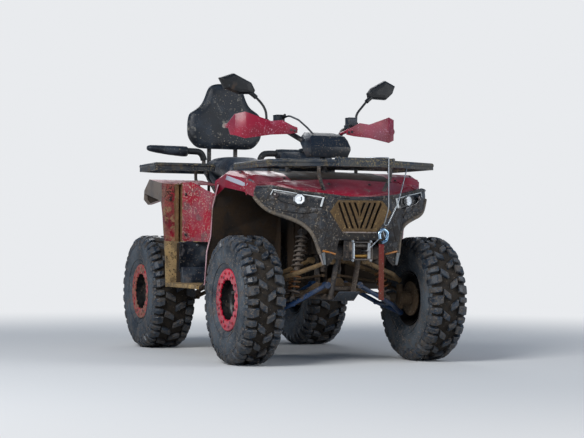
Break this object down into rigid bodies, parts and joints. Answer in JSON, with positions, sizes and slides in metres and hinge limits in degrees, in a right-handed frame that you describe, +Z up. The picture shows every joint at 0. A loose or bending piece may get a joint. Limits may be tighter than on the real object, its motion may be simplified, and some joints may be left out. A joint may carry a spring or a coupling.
{
  "type": "quad bike",
  "caption": "Two-seat quad bike with beadlock wheels on swinging arms, cargo racks, roller winch, hand guards, mirrors and padded backrest; wheels roll and handlebar steers.",
  "frame": {"origin": "on the ground, under the middle of the machine", "axes": "+Z up, front towards -Y, +X towards the left side of the machine"},
  "size_m": [1.292, 2.291, 1.659],
  "materials": {
    "frame_paint": "satin",
    "blue_paint": "satin",
    "cast_metal": "matte",
    "engine": "matte",
    "spring_paint": "satin",
    "rim_paint": "satin",
    "tyre": "matte",
    "steel": "satin",
    "red_plastic": "gloss",
    "dark_plastic": "matte",
    "lamp": "gloss",
    "tail_lamp": "gloss",
    "seat_cover": "satin",
    "mirror_black": "matte",
    "strap": "matte"
  },
  "bodies": {
    "chassis": {"frame": "frame_paint", "engine_block": "engine", "skid_plate": "dark_plastic", "differentials": "cast_metal", "front_lower_arms": "blue_paint", "front_upper_arms": "frame_paint", "rear_arms": "frame_paint", "rear_hubs": "cast_metal", "springs": "spring_paint", "dampers": "steel", "half_shafts": "steel", "front_cladding": "dark_plastic", "grille": "dark_plastic", "headlights": "lamp", "front_bodywork": "red_plastic", "footwells": "dark_plastic", "rear_fenders": "red_plastic", "side_panels": "dark_plastic", "seat_front": "seat_cover", "seat_rear": "seat_cover", "backrest_pads": "seat_cover", "backrest_frame": "frame_paint", "front_rack": "frame_paint", "rear_rack": "frame_paint", "winch": "steel", "winch_rope": "steel", "winch_hook": "steel", "hook_strap": "strap", "tail_lights": "tail_lamp", "exhaust": "steel"},
    "steering": {"handlebar": "frame_paint", "instrument_pod": "dark_plastic", "hand_guards": "red_plastic", "mirrors": "mirror_black", "controls": "mirror_black"},
    "knuckle_left": {"knuckle_left": "cast_metal"},
    "knuckle_right": {"knuckle_right": "cast_metal"},
    "tie_rod_left": {"tie_rod_left": "steel"},
    "tie_rod_right": {"tie_rod_right": "steel"},
    "wheel_front_left": {"tyre_front_left": "tyre", "rim_front_left": "rim_paint"},
    "wheel_front_right": {"tyre_front_right": "tyre", "rim_front_right": "rim_paint"},
    "wheel_rear_left": {"tyre_rear_left": "tyre", "rim_rear_left": "rim_paint"},
    "wheel_rear_right": {"tyre_rear_right": "tyre", "rim_rear_right": "rim_paint"}
  },
  "joints": [
    {"name": "steering_turn", "type": "hinge", "parent": "chassis", "child": "steering", "pos_m": [0, -0.5485, 1.18], "axis": [0, 0.3907, 0.9205], "range_deg": [-35, 35]},
    {"name": "kingpin_left", "type": "hinge", "parent": "chassis", "child": "knuckle_left", "pos_m": [0.4, -0.7535, 0.265], "axis": [-0.0661, 0, 0.9978], "range_deg": [-30.25, 30.25]},
    {"name": "tie_rod_left", "type": "hinge", "parent": "knuckle_left", "child": "tie_rod_left", "pos_m": [0.384, -0.6415, 0.424], "axis": [0, 0, 1], "range_deg": [-30.25, 30.25]},
    {"name": "wheel_front_left", "type": "hinge", "parent": "knuckle_left", "child": "wheel_front_left", "pos_m": [0.533, -0.7535, 0.343], "axis": [1, 0, 0], "continuous": true},
    {"name": "wheel_rear_left", "type": "hinge", "parent": "chassis", "child": "wheel_rear_left", "pos_m": [0.508, 0.7455, 0.343], "axis": [1, 0, 0], "continuous": true},
    {"name": "kingpin_right", "type": "hinge", "parent": "chassis", "child": "knuckle_right", "pos_m": [-0.4, -0.7535, 0.265], "axis": [0.0661, 0, 0.9978], "range_deg": [-30.25, 30.25]},
    {"name": "tie_rod_right", "type": "hinge", "parent": "knuckle_right", "child": "tie_rod_right", "pos_m": [-0.384, -0.6415, 0.424], "axis": [0, 0, 1], "range_deg": [-30.25, 30.25]},
    {"name": "wheel_front_right", "type": "hinge", "parent": "knuckle_right", "child": "wheel_front_right", "pos_m": [-0.533, -0.7535, 0.343], "axis": [1, 0, 0], "continuous": true},
    {"name": "wheel_rear_right", "type": "hinge", "parent": "chassis", "child": "wheel_rear_right", "pos_m": [-0.508, 0.7455, 0.343], "axis": [1, 0, 0], "continuous": true}
  ],
  "couplings": [
    {"joint": "kingpin_left", "follows": "steering_turn", "ratio": 0.85},
    {"joint": "tie_rod_left", "follows": "steering_turn", "ratio": -0.85},
    {"joint": "kingpin_right", "follows": "steering_turn", "ratio": 0.85},
    {"joint": "tie_rod_right", "follows": "steering_turn", "ratio": -0.85}
  ]
}
